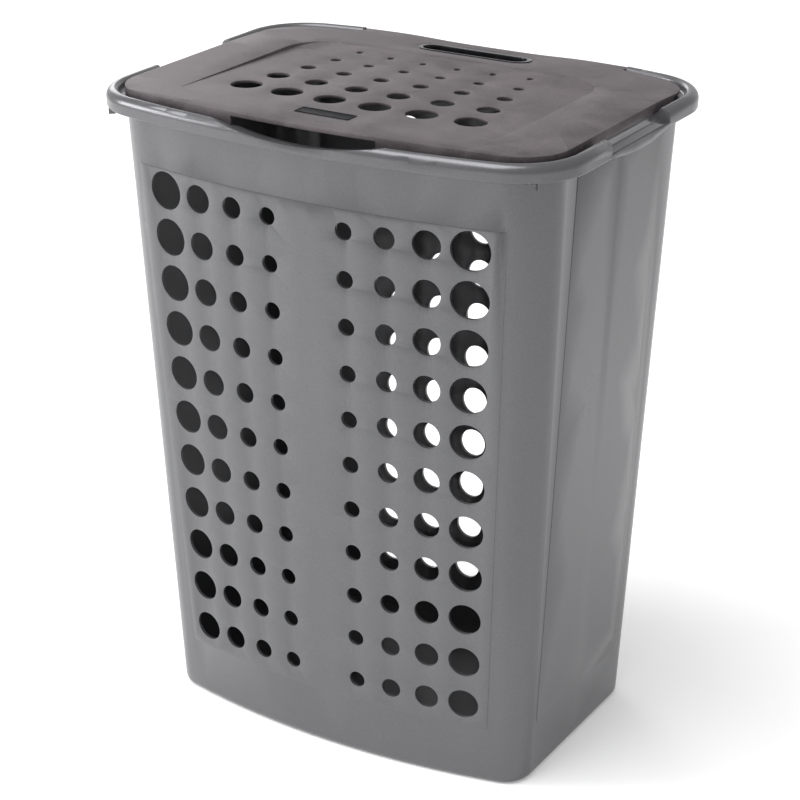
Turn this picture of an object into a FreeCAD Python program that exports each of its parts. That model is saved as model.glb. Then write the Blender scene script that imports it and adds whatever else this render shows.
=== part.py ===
import FreeCAD, Part
import math
import os

# Laundry hamper with a hinged lid.  Millimetres, +Z up, front toward -Y, right side +X.
# The shapes are drawn about the middle of the tub's outline.  The export moves them so that
# the origin is the centre of the whole footprint, on the floor.

# --- overall sizes -------------------------------------------------------------------
tub_height = 600.0          # height of the reference outline that the rim follows
top_width = 435.4           # outside of the wall at tub_height
base_width = 379.0          # outside of the wall at the floor
top_depth = 280.0           # between the corners of the two bowed walls, at tub_height
base_depth = 210.4          # the same, at the floor
face_bow = 25.0             # how far the front and rear walls swell past their corners
top_corner_radius = 48.0
base_corner_radius = 28.0
wall = 2.8
floor_height = 4.0          # top of the foot ring's hollow
floor_thickness = 3.0
foot_ring_width = 20.0
base_edge_radius = 7.0
base_edge_steps = 5

# --- raised panels and the rows of holes ---------------------------------------------
hole_columns = 4            # on each side of the plain middle strip
row_pitch = 44.0
lowest_row = 80.2           # least height of the lowest row of hole centres
top_row_margin = 79.8       # from the top row of hole centres up to tub_height
column_share = 0.18         # column spacing as a share of the wall's half width
top_hole_diameters = (16.2, 19.9, 26.2, 35.5)       # inner column first
base_hole_diameters = (15.4, 18.3, 22.3, 28.0)
rear_hole_diameter = 27.4   # the rear wall has one size of hole on a square grid
rear_pitch = 42.0
rear_columns_each_side = 2  # beside the one on the middle line
rear_rows_lower = 8.6       # the rear rows stand this much lower than the front rows
panel_rise = 0.4
panel_margin_side = 31.0    # from the outer column of hole centres at the top
panel_margin_side_low = 21.5
panel_margin_top = 19.6     # above the top row, clear of its largest holes
panel_bottom = 57.5

# --- rim -----------------------------------------------------------------------------
ledge_drop = 4.0            # the lid's seat lies this far under tub_height
rim_rise = 3.5              # crest of the rim above tub_height
rim_overhang = 17.4         # skirt face outside the wall
skirt_drop = 12.4           # skirt's lower edge under tub_height
rim_thickness = 2.6
end_plate = 5.0             # closing plates of the rim's hollow
lug_depth = 7.0             # stacking lugs under the skirt at the corners
lug_thickness = 2.0
lug_length = 6.3
lug_inset = 1.2             # from the skirt's face
scoop_half_width = 78.0
scoop_depth = 9.0
scoop_tilt = 12.0           # degrees, down toward the inside
scoop_overrun = 10.0        # the scoop's cutter starts this far in front of the rim
grip_half_length = 56.0
grip_plate = 2.5            # thickness of the plates that close the rim beside the grip
grip_bar_top = 9.0          # top of the grip bar under tub_height
grip_bar_bulge = 4.5        # how far the bar hangs under the skirt's edge
grip_bar_swell = 2.0        # how far the bar stands out of the skirt

# --- hinge ---------------------------------------------------------------------------
tongue_half_width = 141.0
tongue_side_gap = 1.0
hinge_inset = 2.5           # hinge axis below tub_height
hinge_behind = 27.0         # hinge axis behind the corner line of the top outline
hinge_pin_radius = 2.5
hinge_pin_length = 5.5
hinge_clearance = 0.06      # radial, pin in socket
hinge_end_clearance = 0.5
knuckle_radius = 5.5
knuckle_clearance = 4.0     # over the cut-down rear wall

# --- lid -----------------------------------------------------------------------------
lid_outset = 0.5            # lid edge outside the reference outline
lid_thickness = 2.5
lid_flange = 2.2
lid_seat_gap = 0.2
lid_edge_rise = 5.0         # lid edge above tub_height, at the sides
lid_crown = 3.5             # extra rise along the middle of the lid
lid_rear_fall = 5.5         # fall of the lid from its flat part to the hinge axis
lid_fall_length = 127.0     # the fall begins this far in front of the hinge axis
dish_depth = 2.6            # soft hollow around the finger cup
dish_half_width = 75.0
dish_start = 33.0           # the dish begins this far in front of the cup's middle
dish_blend = 30.0           # and reaches its depth over this length
flange_past_recess = 8.0    # the lid's flange ends this far behind the recess
lip_half_width = 72.0
lip_height = 3.8
lip_reach = 30.0            # the finger space under the lip goes this far back
recess_side_margin = 59.7   # from the wall's reference outline, at the sides
recess_front_margin = 50.0  # from the middle of the front wall
recess_rear_margin = 75.0   # from the hinge axis
recess_corner = 38.0
recess_skin = 0.1           # least depth of the recess, so that it keeps an edge all round
recess_depth = 3.2
recess_ramp = 37.0          # the floor rises back to the lid's top over this length at the rear
lid_columns = 6
lid_column_share = 0.288    # column spacing as a share of the recess's half width
lid_column_fan = 0.053      # each row behind the first is narrower by this share
lid_row_shares = (0.165, 0.366, 0.559, 0.737, 0.893)     # along the recess, front to rear
lid_row_bow = 6.1
lid_hole_diameters = (28.5, 21.0, 14.5, 10.0, 6.0)
lid_hole_edge_round = 0.7

# --- finger cup and badge ------------------------------------------------------------
cup_ahead_of_hinge = 36.0
cup_length = 112.0
cup_width = 26.0
cup_depth = 8.0
cup_wall = 1.6
cup_flange = 2.4
cup_flange_rise = 0.9
cup_bottom_round = 3.0
cup_fit = 0.15
badge_behind_front = 39.0   # from the middle of the front wall
badge_length = 54.0
badge_width = 15.0
badge_thickness = 1.4
badge_pocket = 0.9
badge_fit = 0.1
badge_frame = 1.1
badge_sink = 0.35

# --- worked out from the sizes above ---------------------------------------------------
front_y = -(top_depth / 2 + face_bow)           # middle of the front wall at tub_height
hinge_y = top_depth / 2 + hinge_behind
hinge_z = tub_height - hinge_inset
seat_z = tub_height - ledge_drop
gap_half = tongue_half_width + tongue_side_gap
top_row = tub_height - top_row_margin
hole_rows = 1 + int((top_row - lowest_row) / row_pitch + 0.001)
recess_half_width = top_width / 2 - recess_side_margin
recess_front = front_y + recess_front_margin
recess_rear = hinge_y - recess_rear_margin
cup_centre = hinge_y - cup_ahead_of_hinge
badge_centre = front_y + badge_behind_front
lid_fall_start = hinge_y - lid_fall_length
front_reach = rim_overhang - front_y
rear_reach = hinge_y + knuckle_radius
centring_shift = (front_reach - rear_reach) / 2
far = top_width + tub_height                    # beyond every surface of the hamper

V = FreeCAD.Vector
UP = V(0, 0, 1)
MIRROR = V(1, 0, 0)


def share(z):
    return z / tub_height


def half_width(z):
    return (base_width + (top_width - base_width) * share(z)) / 2


def half_depth(z):
    return (base_depth + (top_depth - base_depth) * share(z)) / 2


def corner_radius(z):
    return base_corner_radius + (top_corner_radius - base_corner_radius) * share(z)


def corner_points(w, d, r):
    """Bow centre, fillet centre and bow tangent point of the outline in the +x, +y quarter."""
    bow_radius = (w * w + face_bow * face_bow) / (2 * face_bow)
    bow_centre = d + face_bow - bow_radius
    fillet_x = w - r
    fillet_y = bow_centre + math.sqrt((bow_radius - r) ** 2 - fillet_x ** 2)
    reach = bow_radius / (bow_radius - r)
    tangent = (fillet_x * reach, bow_centre + (fillet_y - bow_centre) * reach)
    return bow_radius, bow_centre, (fillet_x, fillet_y), tangent


def outline(z, outset=0.0, level=None):
    """Closed outline of the wall at height z, offset outward by outset, drawn at height level."""
    if level is None:
        level = z
    w = half_width(z)
    d = half_depth(z)
    r = corner_radius(z)
    bow_radius, bow_centre, fillet, tangent = corner_points(w, d, r)
    grown = (bow_radius + outset) / bow_radius
    tx = tangent[0] * grown
    ty = bow_centre + (tangent[1] - bow_centre) * grown
    bow_top = bow_centre + bow_radius + outset
    side = w + outset
    fx, fy = fillet
    ux, uy = tx - fx, ty - fy
    size = math.hypot(ux + r + outset, uy)
    mx = fx + (r + outset) * (ux + r + outset) / size
    my = fy + (r + outset) * uy / size
    edges = [
        Part.makeLine(V(side, 0, level), V(side, fy, level)),
        Part.Arc(V(side, fy, level), V(mx, my, level), V(tx, ty, level)).toShape(),
        Part.Arc(V(tx, ty, level), V(0, bow_top, level), V(-tx, ty, level)).toShape(),
        Part.Arc(V(-tx, ty, level), V(-mx, my, level), V(-side, fy, level)).toShape(),
        Part.makeLine(V(-side, fy, level), V(-side, -fy, level)),
        Part.Arc(V(-side, -fy, level), V(-mx, -my, level), V(-tx, -ty, level)).toShape(),
        Part.Arc(V(-tx, -ty, level), V(0, -bow_top, level), V(tx, -ty, level)).toShape(),
        Part.Arc(V(tx, -ty, level), V(mx, -my, level), V(side, -fy, level)).toShape(),
        Part.makeLine(V(side, -fy, level), V(side, 0, level)),
    ]
    return Part.Wire(edges)


def tapered(z0, z1, outset=0.0):
    """Solid between the outlines at z0 and z1."""
    return Part.makeLoft([outline(z0, outset), outline(z1, outset)], True, True)


def prism(z, outset, bottom, top):
    """Upright solid on the outline of height z."""
    face = Part.Face(outline(z, outset, bottom))
    return face.extrude(V(0, 0, top - bottom))


def box(x0, x1, y0, y1, z0, z1):
    return Part.makeBox(x1 - x0, y1 - y0, z1 - z0, V(x0, y0, z0))


def both_sides(shape):
    """The shape and its mirror image across the middle plane x = 0."""
    return [shape, shape.mirror(V(0, 0, 0), MIRROR)]


def stadium(length, width, y, bottom, top):
    """Upright slot-shaped solid, long side along X, centred on x = 0."""
    r = width / 2
    a = length / 2 - r
    edges = [
        Part.makeLine(V(-a, y - r, bottom), V(a, y - r, bottom)),
        Part.Arc(V(a, y - r, bottom), V(a + r, y, bottom), V(a, y + r, bottom)).toShape(),
        Part.makeLine(V(a, y + r, bottom), V(-a, y + r, bottom)),
        Part.Arc(V(-a, y + r, bottom), V(-a - r, y, bottom), V(-a, y - r, bottom)).toShape(),
    ]
    return Part.Face(Part.Wire(edges)).extrude(V(0, 0, top - bottom))


# --- rim -------------------------------------------------------------------------------
ledge_reach = 1.2           # the ledge starts this far inside the wall's outer face
crest_outset = 10.6         # highest line of the rim, outside the reference outline
edge_curl = 1.3             # height of the skirt's rounded lower edge
edge_lean = 0.2             # the skirt leans inward by this much toward its lower edge


def rim_points():
    """Outer and inner line of the rim's section: outset and height above tub_height."""
    o = rim_overhang
    t = rim_thickness
    seat = -ledge_drop
    top = rim_rise
    low = edge_curl - skirt_drop
    out_low = o - edge_lean
    outer = [
        ("line", (-ledge_reach, seat), (3.0, seat)),
        ("arc", (3.0, seat), (4.7, seat + 0.7), (5.4, seat + 2.2)),
        ("line", (5.4, seat + 2.2), (6.0, top - 4.1)),
        ("arc", (6.0, top - 4.1), (7.6, top - 1.1), (crest_outset, top)),
        ("arc", (crest_outset, top), (o - 1.8, top - 2.6), (o, top - 8.5)),
        ("line", (o, top - 8.5), (out_low, low)),
        ("arc", (out_low, low), (out_low - t / 2, low - edge_curl), (out_low - t, low)),
    ]
    inner = [
        ("line", (out_low - t, low), (o - t, top - 8.6)),
        ("arc", (o - t, top - 8.6), (o - 3.9, top - 4.1), (crest_outset, top - t)),
        ("arc", (crest_outset, top - t), (9.1, top - 3.2), (8.4, top - 4.6)),
        ("line", (8.4, top - 4.6), (7.9, seat + 0.4)),
        ("arc", (7.9, seat + 0.4), (6.9, seat - 1.7), (5.0, seat - t)),
        ("line", (5.0, seat - t), (-ledge_reach, seat - t)),
        ("line", (-ledge_reach, seat - t), (-ledge_reach, seat)),
    ]
    return outer, inner


def section_wire(steps):
    """Closed rim section, standing at the spine's start on the right side."""
    edges = []
    x0 = half_width(tub_height)
    for step in steps:
        pts = [V(x0 + p[0], 0, tub_height + p[1]) for p in step[1:]]
        if step[0] == "line":
            edges.append(Part.makeLine(pts[0], pts[1]))
        else:
            edges.append(Part.Arc(pts[0], pts[1], pts[2]).toShape())
    return Part.Wire(edges)


def swept(section):
    return outline(tub_height).makePipeShell([section], True, False)


def build_rim():
    """The rim as moulded, and the same with its hollow underside filled."""
    outer, inner = rim_points()
    hollow = swept(section_wire(outer + inner))
    start = outer[-1][1]
    filled_steps = outer[:-1] + [
        ("line", start, (-ledge_reach, start[1])),
        ("line", (-ledge_reach, start[1]), (-ledge_reach, -ledge_drop)),
    ]
    filled = swept(section_wire(filled_steps))
    return hollow, filled


def scoop_cylinder(extra):
    """Round trough across the front rim; extra grows its radius."""
    radius = (scoop_half_width ** 2 + scoop_depth ** 2) / (2 * scoop_depth)
    tilt = math.radians(scoop_tilt)
    inward = V(0, math.cos(tilt), -math.sin(tilt))
    upward = V(0, math.sin(tilt), math.cos(tilt))
    lowest = V(0, -front_reach, tub_height + rim_rise - scoop_depth)
    start = lowest + upward * radius - inward * scoop_overrun
    return Part.makeCylinder(radius + extra, scoop_overrun + 2 * rim_overhang, start, inward)


def build_grip(filled):
    """Cutter, end plates and bar of the right-hand grip."""
    x0 = half_width(tub_height)
    high = tub_height + rim_rise + 5
    bar_top = tub_height - grip_bar_top
    low = tub_height - skirt_drop
    half = grip_half_length + grip_plate
    cutter = box(x0 + 0.3, x0 + far, -grip_half_length, grip_half_length, bar_top, high)
    plates = [
        filled.common(box(x0 - 0.8, x0 + far, y, y + grip_plate, low - 5, high))
        for y in (-half, grip_half_length)
    ]
    bulge_radius = (half ** 2 + grip_bar_bulge ** 2) / (2 * grip_bar_bulge)
    swell_radius = (half ** 2 + grip_bar_swell ** 2) / (2 * grip_bar_swell)
    outer = rim_overhang + grip_bar_swell
    inner = rim_overhang - rim_thickness
    bulge_z = low + edge_curl - grip_bar_bulge + bulge_radius
    slab = box(x0 + inner - edge_lean, x0 + outer, -half, half, low - grip_bar_bulge - 1, bar_top)
    disc = Part.makeCylinder(bulge_radius, far, V(0, 0, bulge_z), V(1, 0, 0))
    swell = Part.makeCylinder(swell_radius, far, V(x0 + outer - swell_radius, 0, low - far / 2), UP)
    bar = slab.common(disc).common(swell)
    return cutter, plates, bar


def corner_lug(sx, sy):
    """Small fin under the skirt on the corner's diagonal."""
    fillet = corner_points(half_width(tub_height), half_depth(tub_height),
                           corner_radius(tub_height))[2]
    face = corner_radius(tub_height) + rim_overhang
    bottom = tub_height - skirt_drop - lug_depth
    fin = box(face - lug_length - lug_inset, face - lug_inset, -lug_thickness / 2,
              lug_thickness / 2, bottom, tub_height - 1)
    fin = fin.makeFillet(0.8, [e for e in fin.Edges if e.BoundBox.ZMax < bottom + 0.1])
    fin.rotate(V(0, 0, 0), UP, math.degrees(math.atan2(sy, sx)))
    fin.translate(V(sx * fillet[0], sy * fillet[1], 0))
    return fin


# --- tub -------------------------------------------------------------------------------
def hole_centre(column, row):
    """x and z of a hole centre; column 1 is next to the plain strip, row 0 is the lowest."""
    z = top_row - row_pitch * (hole_rows - 1 - row)
    return column * column_share * half_width(z), z


def hole_radius(column, row):
    top = top_hole_diameters[column - 1]
    low = base_hole_diameters[column - 1]
    return (low + (top - low) * row / (hole_rows - 1)) / 2


def face_panel():
    """Raised panel shared by the front and rear walls, as one prism along Y."""
    x_top = hole_centre(hole_columns, hole_rows - 1)[0] + panel_margin_side
    x_low = hole_centre(hole_columns, 0)[0] + panel_margin_side_low
    top = top_row + panel_margin_top
    pts = [V(-x_low, -far, panel_bottom), V(x_low, -far, panel_bottom),
           V(x_top, -far, top), V(-x_top, -far, top)]
    return Part.Face(Part.makePolygon(pts + pts[:1])).extrude(V(0, 2 * far, 0))


def build_panels():
    """Thin skins that stand proud of all four walls."""
    skin = tapered(0, seat_z, panel_rise)
    core = tapered(0, seat_z, -wall / 3)
    side_reach = corner_points(half_width(0), half_depth(0), corner_radius(0))[2][1] - 2
    side_panel = box(-far, far, -side_reach, side_reach, panel_bottom, tub_height - skirt_drop)
    return skin.common(face_panel().fuse(side_panel)).cut(core)


def wall_drills():
    """Every drill of the front wall, graded in size, and of the rear wall, all alike."""
    drills = []
    for row in range(hole_rows):
        z = hole_centre(1, row)[1] - rear_rows_lower
        for column in range(-rear_columns_each_side, rear_columns_each_side + 1):
            start = V(column * rear_pitch, 0, z)
            drills.append(Part.makeCylinder(rear_hole_diameter / 2, far, start, V(0, 1, 0)))
    for row in range(hole_rows):
        for column in range(1, hole_columns + 1):
            x, z = hole_centre(column, row)
            drill = Part.makeCylinder(hole_radius(column, row), far, V(x, 0, z), V(0, -1, 0))
            drills += both_sides(drill)
    return Part.makeCompound(drills)


def rounded_body():
    """Solid of the tub's outside: its lower edge turns under in steps of a quarter circle."""
    sections = []
    for step in range(base_edge_steps):
        turn = math.pi / 2 * step / base_edge_steps
        z = base_edge_radius * (1 - math.cos(turn))
        sections.append(outline(z, base_edge_radius * (math.sin(turn) - 1)))
    sections.append(outline(base_edge_radius))
    sections.append(outline(seat_z))
    return Part.makeLoft(sections, True, True)


def build_tub():
    outer = rounded_body()
    inner = tapered(floor_height + floor_thickness, seat_z + 1, -wall)
    foot_hollow = prism(0, -foot_ring_width, -1, floor_height)
    hollow, filled = build_rim()
    tongue_gap = box(-gap_half, gap_half, 0, far, 0, far)
    end_wall = filled.common(box(gap_half, gap_half + end_plate, 0, far, 0, far))
    front_half = box(-far, far, -far, 0, 0, far)
    backing = filled.copy()
    backing.translate(V(0, rim_thickness / 3, -rim_thickness / 4))
    trough = backing.common(scoop_cylinder(rim_thickness)).common(front_half)
    lugs = [corner_lug(sx, sy) for sx in (-1, 1) for sy in (-1, 1)]
    tub = outer.fuse([build_panels(), hollow.cut(tongue_gap), trough] + both_sides(end_wall) + lugs)
    cutter, plates, bar = build_grip(filled)
    wall_notch = box(-gap_half, gap_half, 0, far,
                     hinge_z - knuckle_radius - knuckle_clearance, far)
    tub = tub.cut([inner, foot_hollow, scoop_cylinder(0), wall_notch] + both_sides(cutter))
    fused = []
    for shape in plates + [bar]:
        fused += both_sides(shape)
    pin = Part.makeCylinder(hinge_pin_radius, hinge_pin_length + end_plate / 2,
                            V(gap_half + end_plate / 2, hinge_y, hinge_z), V(-1, 0, 0))
    tub = tub.fuse(fused + both_sides(pin))
    return tub.cut(wall_drills()).removeSplitter()


# --- lid -------------------------------------------------------------------------------
def smooth_step(t):
    t = min(1.0, max(0.0, t))
    return t * t * (3 - 2 * t)


def lid_height(x, y):
    """Top of the lid: crowned across, falling toward the hinge, dished around the cup."""
    z = tub_height + lid_edge_rise + lid_crown * (1 - (2 * x / top_width) ** 2)
    fall = max(0.0, y - lid_fall_start) / lid_fall_length
    z -= lid_rear_fall * fall ** 2
    into_dish = smooth_step((y - cup_centre + dish_start) / dish_blend)
    return z - dish_depth * into_dish * math.exp(-(x / dish_half_width) ** 4)


def recess_height(x, y):
    """Floor of the lid's recess: it sinks evenly toward the rear, then ramps back up."""
    ramp_start = recess_rear - recess_ramp
    slope = min(1.0, max(0.0, (y - recess_front) / (ramp_start - recess_front)))
    rise = smooth_step((y - ramp_start) / recess_ramp)
    return lid_height(x, y) - recess_skin - recess_depth * slope * (1 - rise)


def under(height, drop):
    """Solid below the surface z = height(x, y) - drop."""
    across, along = 33, 41
    wide = top_width / 2 + 30
    deep = front_reach + 20
    rows = []
    for i in range(across):
        x = -wide + 2 * wide * i / (across - 1)
        rows.append([V(x, y, height(x, y) - drop)
                     for y in (-deep + 2 * deep * j / (along - 1) for j in range(along))])
    surface = Part.BSplineSurface()
    surface.interpolate(rows)
    return surface.toShape().extrude(V(0, 0, -60))


def recess_prism(outset):
    """Upright solid on the recess's plan: square front corners, round rear corners."""
    w = recess_half_width + outset
    front = recess_front - outset
    rear = recess_rear + outset
    r = recess_corner + outset
    s = r * math.sqrt(0.5)
    z = tub_height - 20
    edges = [
        Part.makeLine(V(-w, front, z), V(w, front, z)),
        Part.makeLine(V(w, front, z), V(w, rear - r, z)),
        Part.Arc(V(w, rear - r, z), V(w - r + s, rear - r + s, z), V(w - r, rear, z)).toShape(),
        Part.makeLine(V(w - r, rear, z), V(-w + r, rear, z)),
        Part.Arc(V(-w + r, rear, z), V(-w + r - s, rear - r + s, z), V(-w, rear - r, z)).toShape(),
        Part.makeLine(V(-w, rear - r, z), V(-w, front, z)),
    ]
    return Part.Face(Part.Wire(edges)).extrude(V(0, 0, 60))


def lid_holes():
    """Centre and radius of every hole in the lid."""
    places = []
    half_count = (lid_columns - 1) / 2
    for row, along in enumerate(lid_row_shares):
        y = recess_front + along * (recess_rear - recess_front)
        pitch = lid_column_share * recess_half_width * (1 - lid_column_fan * row)
        for column in range(lid_columns):
            k = column - half_count
            bow = lid_row_bow * ((k / half_count) ** 2 - 0.5)
            places.append((k * pitch, y + bow, lid_hole_diameters[row] / 2))
    return places


def on_drill(edge, places):
    """True where the whole edge lies on the wall of one of the lid's holes."""
    span = edge.LastParameter - edge.FirstParameter
    spots = [edge.valueAt(edge.FirstParameter + span * t) for t in (0.1, 0.5, 0.9)]
    for x, y, r in places:
        if all(abs(math.hypot(p.x - x, p.y - y) - r) < 0.02 for p in spots):
            return True
    return False


def round_lid_holes(body, places):
    """Round the upper edge of each hole in the lid."""
    edges = []
    for edge in body.Edges:
        mid = edge.valueAt((edge.FirstParameter + edge.LastParameter) / 2)
        bounds = edge.BoundBox
        if max(bounds.XLength, bounds.YLength) < 2:
            continue
        if mid.z > recess_height(mid.x, mid.y) - lid_thickness / 2:
            if on_drill(edge, places):
                edges.append(edge)
    return body.makeFillet(lid_hole_edge_round, edges)


def build_lid():
    seat = seat_z + lid_seat_gap
    high = tub_height + 40
    tongue = box(-tongue_half_width, tongue_half_width, 0, hinge_y, seat, high)
    behind = box(-far, far, hinge_y, far, 0, 2 * far)
    blank = prism(tub_height, lid_outset, seat, high).cut(behind).fuse(tongue)
    body = blank.removeSplitter().common(under(lid_height, 0))
    core = prism(tub_height, lid_outset - lid_flange, seat - 10, high)
    rear = box(-far, far, recess_rear + flange_past_recess, far, seat - 10, high)
    body = body.cut(core.fuse(rear).common(under(lid_height, lid_thickness)))
    pan = recess_prism(lid_thickness).common(under(lid_height, lid_thickness / 2))
    body = body.fuse(pan.cut(under(recess_height, lid_thickness)))
    body = body.cut(recess_prism(0).cut(under(recess_height, 0)))
    knuckle = Part.makeCylinder(knuckle_radius, 2 * tongue_half_width,
                                V(-tongue_half_width, hinge_y, hinge_z), V(1, 0, 0))
    body = body.fuse(knuckle.common(under(lid_height, 0)))
    bore_depth = hinge_pin_length - tongue_side_gap + hinge_end_clearance
    bore = Part.makeCylinder(hinge_pin_radius + hinge_clearance, bore_depth + 5,
                             V(tongue_half_width + 5, hinge_y, hinge_z), V(-1, 0, 0))
    lip_top = tub_height + lid_edge_rise + lid_crown - lip_height
    lip_cut = box(-lip_half_width, lip_half_width, -far, front_y + lip_reach, seat - 5, lip_top)
    slot = stadium(cup_length, cup_width, cup_centre, tub_height - 20, high)
    half_length = badge_length / 2 + badge_fit
    half_badge = badge_width / 2 + badge_fit
    pocket = box(-half_length, half_length, badge_centre - half_badge, badge_centre + half_badge,
                 lid_height(0, badge_centre) - badge_pocket, high)
    places = lid_holes()
    drills = [Part.makeCylinder(r, 60, V(x, y, tub_height - 20)) for x, y, r in places]
    body = body.cut(both_sides(bore) + [lip_cut, slot, pocket] + drills).removeSplitter()
    return round_lid_holes(body.Solids[0], places)


# --- pieces set in the lid ---------------------------------------------------------------
def bottom_edges(shape, level):
    return [e for e in shape.Edges if e.BoundBox.ZMax < level + 0.1]


def build_cup():
    """Closed oval cup that lines the slot in the lid's tongue."""
    top = lid_height(0, cup_centre)
    low = top - cup_depth
    length = cup_length - 2 * cup_fit
    width = cup_width - 2 * cup_fit
    body = stadium(length, width, cup_centre, low, top + 3)
    body = body.makeFillet(cup_bottom_round, bottom_edges(body, low))
    body = body.common(under(lid_height, -cup_flange_rise))
    flange = stadium(cup_length + 2 * cup_flange, cup_width + 2 * cup_flange, cup_centre,
                     top - 20, top + 20)
    flange = flange.common(under(lid_height, -cup_flange_rise)).cut(under(lid_height, -0.05))
    inside = stadium(length - 2 * cup_wall, width - 2 * cup_wall, cup_centre, low + cup_wall,
                     top + 20)
    inside = inside.makeFillet(cup_bottom_round, bottom_edges(inside, low + cup_wall))
    return body.fuse(flange).cut(inside).removeSplitter()


def build_badge():
    """Blank plate with a raised frame, set in a pocket near the lid's front edge."""
    low = lid_height(0, badge_centre) - badge_pocket + 0.02
    half_length = badge_length / 2
    half_badge = badge_width / 2
    plate = box(-half_length, half_length, badge_centre - half_badge, badge_centre + half_badge,
                low, low + badge_thickness)
    plate = plate.makeFillet(1.0, [e for e in plate.Edges if e.BoundBox.ZLength > 1])
    face = box(-half_length + badge_frame, half_length - badge_frame,
               badge_centre - half_badge + badge_frame, badge_centre + half_badge - badge_frame,
               low + badge_thickness - badge_sink, low + badge_thickness + 1)
    return plate.cut(face)


os.makedirs("parts", exist_ok=True)
nodes = {
    "tub": build_tub(),
    "lid": build_lid(),
    "finger_cup": build_cup(),
    "badge_plate": build_badge(),
}
for name, shape in nodes.items():
    shape.translate(V(0, centring_shift, 0))
    shape.exportStep("parts/" + name + ".step")
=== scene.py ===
"""Looks for a laundry hamper with a hinged lid: moulded shells, finishes, light and camera."""

import math

import bmesh
import bpy
import numpy as np
from mathutils import Matrix, Vector


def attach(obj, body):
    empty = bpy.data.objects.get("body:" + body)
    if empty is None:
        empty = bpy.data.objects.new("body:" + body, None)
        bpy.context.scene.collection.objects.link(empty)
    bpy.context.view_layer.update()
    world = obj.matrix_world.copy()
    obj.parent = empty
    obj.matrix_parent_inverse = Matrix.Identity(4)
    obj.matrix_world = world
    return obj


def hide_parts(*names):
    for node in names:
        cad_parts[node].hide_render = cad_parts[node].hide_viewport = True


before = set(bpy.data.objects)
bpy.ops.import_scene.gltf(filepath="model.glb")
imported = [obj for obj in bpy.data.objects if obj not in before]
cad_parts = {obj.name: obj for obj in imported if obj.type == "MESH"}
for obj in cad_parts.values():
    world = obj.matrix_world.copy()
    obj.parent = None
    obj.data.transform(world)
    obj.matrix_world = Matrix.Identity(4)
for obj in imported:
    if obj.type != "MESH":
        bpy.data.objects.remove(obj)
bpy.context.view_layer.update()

MM = 0.001

# --- camera: angles in degrees, azimuth counted from the front toward the right --------------
CAMERA_AZIMUTH = 30.981
CAMERA_ELEVATION = 20.591
CAMERA_ROLL = 0.203
CAMERA_PLACE = Vector((1.0222, -1.70035, 1.1471))
CAMERA_LENS = 104.03                # mm, on a 36 mm sensor
CAMERA_SENSOR = 36.0
CAMERA_SHIFT = -0.125

# --- light and backdrop, in metres and watts ---------------------------------------------------
WORLD_STRENGTH = 0.54
LIGHT_TARGET = (0, 0, 0.35)         # the middle of the hamper
SOFT_LIGHTS = (                     # name, place, side length, power
    ("overhead_box", (-0.6, -1.0, 3.4), 2.4, 95),
    ("left_key", (-3.0, -1.7, 1.6), 1.5, 70),
    ("rear_left_box", (-2.8, 2.4, 1.7), 1.4, 20),
)
FLOOR_REACH = 12.0
FLOOR_CURVE = 3.0                   # radius where the floor turns up
FLOOR_TOP = 6.0
FLOOR_STEPS = 24
FLOOR_GLOW = 0.2                    # keeps the floor near white under soft light

# --- edges that the moulds leave round ---------------------------------------------------------
EDGE_ANGLE = math.radians(60)       # sharper edges than this are rounded
EDGE_SEGMENTS = 2
TUB_EDGE = 0.8 * MM
LID_EDGE = 0.5 * MM
CUP_EDGE = 0.25 * MM
BADGE_EDGE = 0.2 * MM
MERGE_DISTANCE = 0.002 * MM
DEGENERATE_LENGTH = 0.01 * MM

# --- pattern sizes in mm -----------------------------------------------------------------------
TUB_FLOW = 90
TUB_FLOW_STRETCH = 0.35             # the flow marks run up the walls
TUB_FLAKE = 1.2                     # real flake is about 0.05 mm, drawn coarser so that it shows
TUB_GRAIN = 0.9                     # real mould grain is about 0.1 mm, drawn coarser too
LID_CLOUD = 45
LID_GRAIN = 2.5                     # drawn coarser than the real grain
ABS_HAZE = 12
FLOOR_DRIFT = 700


# --- colours and nodes ---------------------------------------------------------------------
def linear(hex_colour):
    """sRGB hex value to a linear colour with alpha 1."""
    values = [int(hex_colour[i:i + 2], 16) / 255 for i in (1, 3, 5)]
    return tuple(v / 12.92 if v <= 0.04045 else ((v + 0.055) / 1.055) ** 2.4 for v in values) + (1.0,)


def new_material(name):
    """Empty material with its node tree, principled shader and object coordinates."""
    material = bpy.data.materials.new(name)
    material.use_nodes = True
    tree = material.node_tree
    shader = tree.nodes["Principled BSDF"]
    place = tree.nodes.new("ShaderNodeTexCoord").outputs["Object"]
    return material, tree, shader, place


def add(tree, kind, inputs, **settings):
    """One node with its settings, and its inputs set to values or linked to sockets."""
    node = tree.nodes.new(kind)
    for key, value in settings.items():
        setattr(node, key, value)
    for key, value in inputs.items():
        if isinstance(value, bpy.types.NodeSocket):
            tree.links.new(value, node.inputs[key])
        else:
            node.inputs[key].default_value = value
    return node


def mottle(tree, noise, start, end, hex_low, hex_high):
    """Colour that turns evenly from hex_low to hex_high as the noise goes from start to end."""
    share = add(tree, "ShaderNodeMapRange", {"Value": noise, "From Min": start, "From Max": end})
    blend = add(tree, "ShaderNodeMix", {"Factor": share.outputs["Result"], "A": linear(hex_low),
                                        "B": linear(hex_high)}, data_type="RGBA")
    return blend.outputs["Result"]


def per_metre(size_mm):
    """Noise scale whose features are about size_mm across."""
    return 1 / (size_mm * MM)


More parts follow.
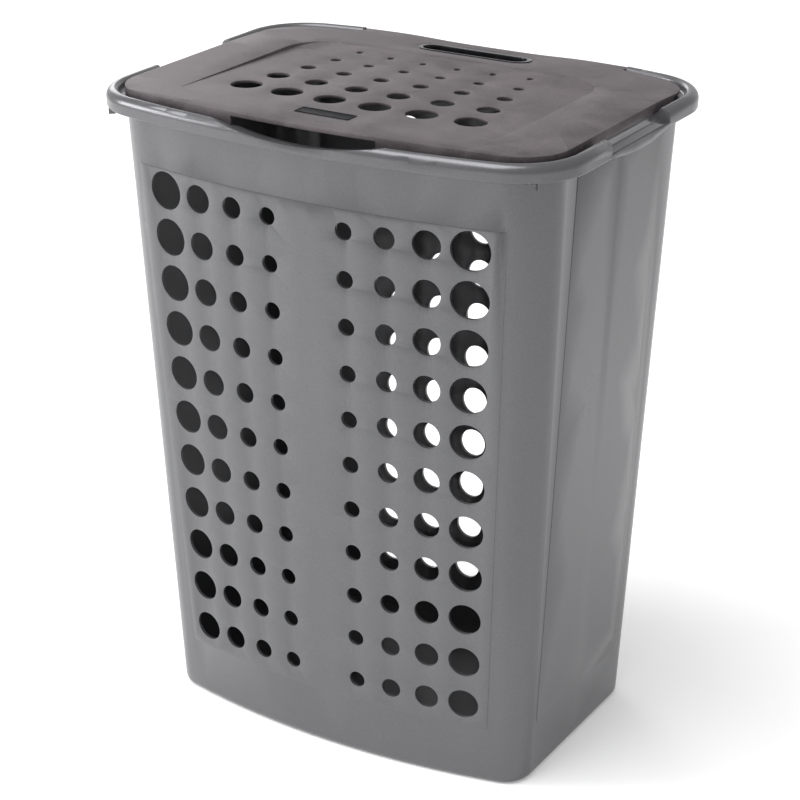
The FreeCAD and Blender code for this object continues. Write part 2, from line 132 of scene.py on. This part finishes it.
# --- finishes ------------------------------------------------------------------------------
def silver_polypropylene():
    """Injection-moulded polypropylene with fine silver flake, for the tub.

    The flake gives a soft metallic sheen, the mould's spark-eroded grain a satin surface, and
    the melt's flow a faint drift of tone that runs up the walls.
    """
    material, tree, shader, place = new_material("silver_flake_polypropylene_moulded")
    flow_place = add(tree, "ShaderNodeMapping", {"Vector": place,
                                                 "Scale": (1.0, 1.0, TUB_FLOW_STRETCH)})
    flow = add(tree, "ShaderNodeTexNoise", {"Vector": flow_place.outputs["Vector"],
                                            "Scale": per_metre(TUB_FLOW), "Detail": 3.0})
    flake = add(tree, "ShaderNodeTexNoise", {"Vector": place, "Scale": per_metre(TUB_FLAKE),
                                             "Detail": 2.0})
    tone = mottle(tree, flow.outputs["Fac"], 0.30, 0.70, "#5F5F61", "#676769")
    speck = mottle(tree, flake.outputs["Fac"], 0.35, 0.65, "#58595B", "#6E6E72")
    colour = add(tree, "ShaderNodeMix", {"Factor": 0.3, "A": tone, "B": speck}, data_type="RGBA")
    tree.links.new(colour.outputs["Result"], shader.inputs["Base Color"])
    shader.inputs["Metallic"].default_value = 0.5
    shader.inputs["IOR"].default_value = 1.49
    rough = add(tree, "ShaderNodeMapRange", {"Value": flow.outputs["Fac"], "From Min": 0.3,
                                             "From Max": 0.7, "To Min": 0.27, "To Max": 0.34})
    tree.links.new(rough.outputs["Result"], shader.inputs["Roughness"])
    grain = add(tree, "ShaderNodeTexNoise", {"Vector": place, "Scale": per_metre(TUB_GRAIN),
                                             "Detail": 2.0})
    bump = add(tree, "ShaderNodeBump", {"Height": grain.outputs["Fac"], "Strength": 0.06,
                                        "Distance": 0.1 * MM})
    tree.links.new(bump.outputs["Normal"], shader.inputs["Normal"])
    return material


def taupe_polypropylene():
    """Injection-moulded polypropylene, warm taupe grey, for the lid.

    Broad cloudy flow marks cover it, and it is duller than the tub because it has less flake.
    """
    material, tree, shader, place = new_material("taupe_polypropylene_moulded")
    cloud = add(tree, "ShaderNodeTexNoise", {"Vector": place, "Scale": per_metre(LID_CLOUD),
                                             "Detail": 5.0, "Roughness": 0.6,
                                             "Distortion": 0.8})
    fine = add(tree, "ShaderNodeTexNoise", {"Vector": place, "Scale": per_metre(LID_GRAIN),
                                            "Detail": 3.0})
    tone = mottle(tree, cloud.outputs["Fac"], 0.32, 0.68, "#3B3638", "#635C5F")
    speck = mottle(tree, fine.outputs["Fac"], 0.35, 0.65, "#423D3F", "#635C5F")
    colour = add(tree, "ShaderNodeMix", {"Factor": 0.25, "A": tone, "B": speck}, data_type="RGBA")
    tree.links.new(colour.outputs["Result"], shader.inputs["Base Color"])
    shader.inputs["Metallic"].default_value = 0.1
    shader.inputs["IOR"].default_value = 1.49
    shader.inputs["Specular IOR Level"].default_value = 0.33
    rough = add(tree, "ShaderNodeMapRange", {"Value": cloud.outputs["Fac"], "From Min": 0.3,
                                             "From Max": 0.7, "To Min": 0.46, "To Max": 0.62})
    tree.links.new(rough.outputs["Result"], shader.inputs["Roughness"])
    bump = add(tree, "ShaderNodeBump", {"Height": fine.outputs["Fac"], "Strength": 0.08,
                                        "Distance": 0.15 * MM})
    tree.links.new(bump.outputs["Normal"], shader.inputs["Normal"])
    return material


def dark_abs(name, hex_low, hex_high, specular, rough_low, rough_high):
    """Injection-moulded ABS, nearly black, with a faint haze from handling.

    A polished mould leaves it glossy, as on the cup, and a grained one satin, as on the plate.
    """
    material, tree, shader, place = new_material(name)
    haze = add(tree, "ShaderNodeTexNoise", {"Vector": place, "Scale": per_metre(ABS_HAZE),
                                            "Detail": 4.0})
    tone = mottle(tree, haze.outputs["Fac"], 0.3, 0.7, hex_low, hex_high)
    tree.links.new(tone, shader.inputs["Base Color"])
    shader.inputs["IOR"].default_value = 1.53
    shader.inputs["Specular IOR Level"].default_value = specular
    rough = add(tree, "ShaderNodeMapRange", {"Value": haze.outputs["Fac"], "From Min": 0.3,
                                             "From Max": 0.7, "To Min": rough_low,
                                             "To Max": rough_high})
    tree.links.new(rough.outputs["Result"], shader.inputs["Roughness"])
    return material


# --- moulded shells --------------------------------------------------------------------------
def moulded_copy(node, edge_radius, material):
    """The node's own shape with its sharp edges rounded, as a mould leaves them.

    A copy of the mesh has its doubles merged and all its faces shaded smooth; every edge
    sharper than EDGE_ANGLE gets a round of up to edge_radius.
    """
    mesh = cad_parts[node].data.copy()
    mesh.name = node + "_moulded"
    piece = bpy.data.objects.new(node + "_moulded", mesh)
    bpy.context.scene.collection.objects.link(piece)
    work = bmesh.new()
    work.from_mesh(mesh)
    bmesh.ops.remove_doubles(work, verts=work.verts, dist=MERGE_DISTANCE)
    bmesh.ops.dissolve_degenerate(work, dist=DEGENERATE_LENGTH, edges=work.edges)
    work.to_mesh(mesh)
    work.free()
    mesh.polygons.foreach_set("use_smooth", np.ones(len(mesh.polygons), bool))
    mesh.materials.clear()
    mesh.materials.append(material)
    bevel = piece.modifiers.new("rounded_edges", "BEVEL")
    bevel.width = edge_radius
    bevel.segments = EDGE_SEGMENTS
    bevel.limit_method = "ANGLE"
    bevel.angle_limit = EDGE_ANGLE
    bevel.harden_normals = True
    bevel.use_clamp_overlap = True
    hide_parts(node)
    return piece


def build_hamper():
    """Tub, lid, finger cup and badge plate, each in its own plastic; the tub on its own body, the cup
    and plate on the lid's body.
    """
    tub = moulded_copy("tub", TUB_EDGE, silver_polypropylene())
    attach(tub, "tub")
    lid = moulded_copy("lid", LID_EDGE, taupe_polypropylene())
    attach(lid, "lid")
    cup = moulded_copy("finger_cup", CUP_EDGE,
                       dark_abs("dark_gloss_abs_cup", "#101113", "#18191B", 0.3, 0.12, 0.2))
    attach(cup, "lid")
    badge = moulded_copy("badge_plate", BADGE_EDGE,
                         dark_abs("dark_satin_abs_badge", "#141517", "#202124", 0.05, 0.45, 0.6))
    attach(badge, "lid")


# --- floor, light and camera -----------------------------------------------------------------
def build_floor():
    """Pale floor that curves up far behind the hamper: flat, then a quarter circle, then upright.

    The profile is carried straight across, and the whole is turned to face the camera.
    """
    turn = np.linspace(0, math.pi / 2, FLOOR_STEPS)
    curve_start = FLOOR_REACH - FLOOR_CURVE
    y = np.concatenate(([-FLOOR_REACH], curve_start + FLOOR_CURVE * np.sin(turn), [FLOOR_REACH]))
    z = np.concatenate(([0.0], FLOOR_CURVE - FLOOR_CURVE * np.cos(turn), [FLOOR_TOP]))
    x = np.array([-FLOOR_REACH, FLOOR_REACH])
    grid = np.stack([np.repeat(x, len(y)), np.tile(y, 2), np.tile(z, 2)], axis=1)
    azimuth = math.radians(CAMERA_AZIMUTH)
    spin = np.array([[math.cos(azimuth), -math.sin(azimuth)],
                     [math.sin(azimuth), math.cos(azimuth)]])
    grid[:, :2] = grid[:, :2] @ spin.T
    n = len(y)
    faces = [(i, i + n, i + n + 1, i + 1) for i in range(n - 1)]
    mesh = bpy.data.meshes.new("studio_floor")
    mesh.from_pydata(grid.tolist(), [], faces)
    mesh.polygons.foreach_set("use_smooth", np.ones(len(faces), bool))
    floor = bpy.data.objects.new("studio_floor", mesh)
    bpy.context.scene.collection.objects.link(floor)
    material, tree, shader, place = new_material("matt_white_backdrop_paint")
    drift = add(tree, "ShaderNodeTexNoise", {"Vector": place, "Scale": per_metre(FLOOR_DRIFT)})
    tone = mottle(tree, drift.outputs["Fac"], 0.3, 0.7, "#FBFBFB", "#FEFEFE")
    tree.links.new(tone, shader.inputs["Base Color"])
    shader.inputs["Roughness"].default_value = 0.85
    shader.inputs["Emission Color"].default_value = linear("#FFFFFF")
    shader.inputs["Emission Strength"].default_value = FLOOR_GLOW
    mesh.materials.append(material)


def build_camera():
    """Long lens from the front right, a little above the hamper, level but for a slight roll."""
    data = bpy.data.cameras.new("camera")
    camera = bpy.data.objects.new("camera", data)
    bpy.context.scene.collection.objects.link(camera)
    data.sensor_width = CAMERA_SENSOR
    data.lens = CAMERA_LENS
    data.shift_y = CAMERA_SHIFT
    azimuth = math.radians(CAMERA_AZIMUTH)
    elevation = math.radians(CAMERA_ELEVATION)
    back = Vector((math.sin(azimuth) * math.cos(elevation),
                   -math.cos(azimuth) * math.cos(elevation), math.sin(elevation)))
    aim = (-back).to_track_quat("-Z", "Y").to_matrix().to_4x4()
    roll = Matrix.Rotation(math.radians(CAMERA_ROLL), 4, "Z")
    camera.matrix_world = Matrix.Translation(CAMERA_PLACE) @ aim @ roll
    bpy.context.scene.camera = camera


def soft_light(name, place, target, size, power):
    """Square area light at place, facing target."""
    data = bpy.data.lights.new(name, "AREA")
    data.shape = "SQUARE"
    data.size = size
    data.energy = power
    light = bpy.data.objects.new(name, data)
    bpy.context.scene.collection.objects.link(light)
    light.location = place
    light.rotation_euler = (Vector(target) - Vector(place)).to_track_quat("-Z", "Y").to_euler()


def build_light():
    """Even white surround with three soft boxes: overhead, left and rear left."""
    bpy.context.scene.view_settings.view_transform = "Standard"
    world = bpy.data.worlds.new("studio")
    bpy.context.scene.world = world
    world.use_nodes = True
    background = world.node_tree.nodes["Background"]
    background.inputs["Color"].default_value = linear("#FFFFFF")
    background.inputs["Strength"].default_value = WORLD_STRENGTH
    for name, place, size, power in SOFT_LIGHTS:
        soft_light(name, place, LIGHT_TARGET, size, power)


build_hamper()
build_floor()
build_camera()
build_light()
